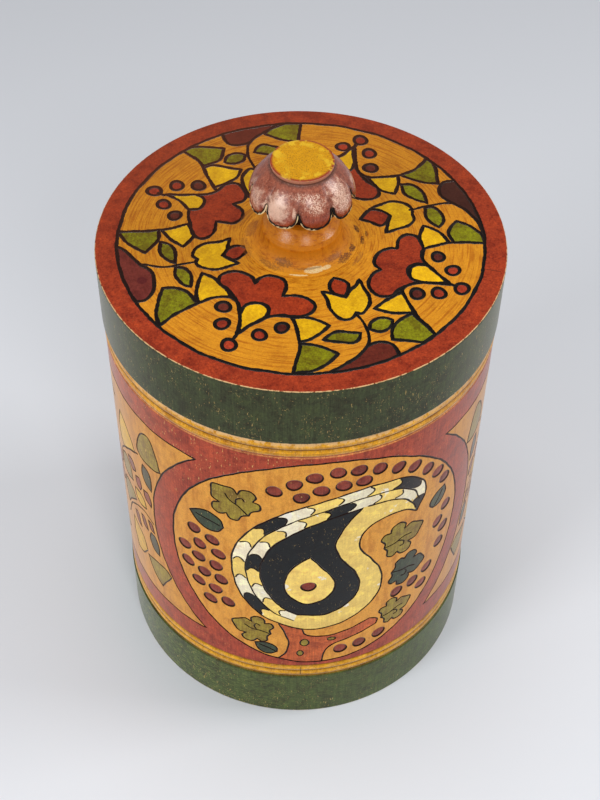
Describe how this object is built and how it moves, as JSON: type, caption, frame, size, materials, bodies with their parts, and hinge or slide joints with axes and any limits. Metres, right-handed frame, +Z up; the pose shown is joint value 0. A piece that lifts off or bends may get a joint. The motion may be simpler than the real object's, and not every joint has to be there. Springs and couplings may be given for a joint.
{
  "type": "lidded wooden canister",
  "caption": "Round turned wooden canister with carved and painted panels and a deep lift-off lid that carries a petalled knob, for keeping dry goods or small things.",
  "frame": {"origin": "centre of the foot's resting face, on the jar's turning axis", "axes": "+Z up along the turning axis; -Y is the front, towards the medallion that the picture shows; +X is to the right of it"},
  "size_m": [0.14, 0.14, 0.2305],
  "materials": {
    "painted_jar": "carved outlines, brick red, olive green and ochre paint under worn satin varnish",
    "bare_wood": "turned and left bare, with tool rings",
    "painted_lid": "stained ochre with carved dark outlines, yellow, green and brick red paint, glossy varnish",
    "painted_knob": "dull red petals, yellow top and golden brown foot under glossy, scratched varnish"
  },
  "bodies": {
    "jar": {"jar_wall": "painted_jar", "base_disc": "bare_wood"},
    "cover": {"lid": "painted_lid", "knob": "painted_knob"}
  },
  "joints": [
    {"name": "lid_lift", "type": "slide", "parent": "jar", "child": "cover", "axis": [0, 0, 1], "range_m": [0, 0.08]}
  ]
}
